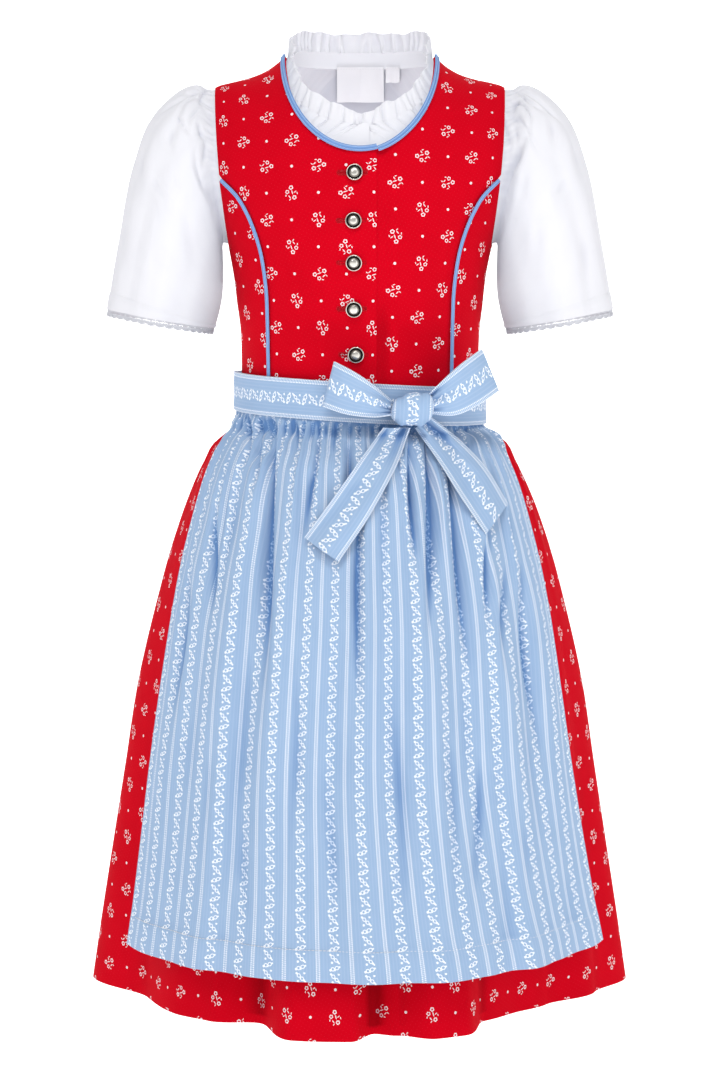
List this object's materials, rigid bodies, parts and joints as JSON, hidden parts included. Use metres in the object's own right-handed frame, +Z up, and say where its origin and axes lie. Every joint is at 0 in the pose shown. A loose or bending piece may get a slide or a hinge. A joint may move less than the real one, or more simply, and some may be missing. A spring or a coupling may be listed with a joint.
{
  "type": "child's dirndl with apron and blouse",
  "caption": "Knee-length gathered dirndl with buttoned bodice, tied apron with bow and puff-sleeved blouse, filled out as worn and empty inside.",
  "frame": {"origin": "midpoint between the shoulders, on the shoulder line, where the wearer holds the set up", "axes": "+Z up, front faces -Y, +X towards the viewer's right, which is the wearer's left"},
  "size_m": [0.3808, 0.3514, 0.6631],
  "materials": {
    "red_print_cotton": "matt printed cotton",
    "blue_piping": "matt cotton piping",
    "antique_silver": "antique silver, darkened in the grooves",
    "blue_apron_cotton": "woven cotton with a slight sheen",
    "white_cotton": "matt plain cotton",
    "white_lace": "matt cotton lace",
    "woven_tape": "smooth woven tape, bare"
  },
  "bodies": {
    "root": {"bodice_front_right": "red_print_cotton", "bodice_front_left": "red_print_cotton", "bodice_side_right": "red_print_cotton", "bodice_side_left": "red_print_cotton", "bodice_back": "red_print_cotton", "skirt_front": "red_print_cotton", "skirt_back": "red_print_cotton", "neck_piping": "blue_piping", "seam_piping_right": "blue_piping", "seam_piping_left": "blue_piping", "button_1": "antique_silver", "button_2": "antique_silver", "button_3": "antique_silver", "button_4": "antique_silver", "button_5": "antique_silver", "apron_panel": "blue_apron_cotton", "apron_waistband": "blue_apron_cotton", "apron_tie_wrap": "blue_apron_cotton", "bow_loop_left": "blue_apron_cotton", "bow_loop_right": "blue_apron_cotton", "bow_knot": "blue_apron_cotton", "bow_tail_left": "blue_apron_cotton", "bow_tail_right": "blue_apron_cotton", "blouse_front_right": "white_cotton", "blouse_front_left": "white_cotton", "blouse_back": "white_cotton", "sleeve_right": "white_cotton", "sleeve_left": "white_cotton", "neckband": "white_cotton", "neck_ruffle": "white_cotton", "lace_right": "white_lace", "lace_left": "white_lace", "neck_label": "woven_tape", "size_tab": "woven_tape"}
  },
  "joints": []
}
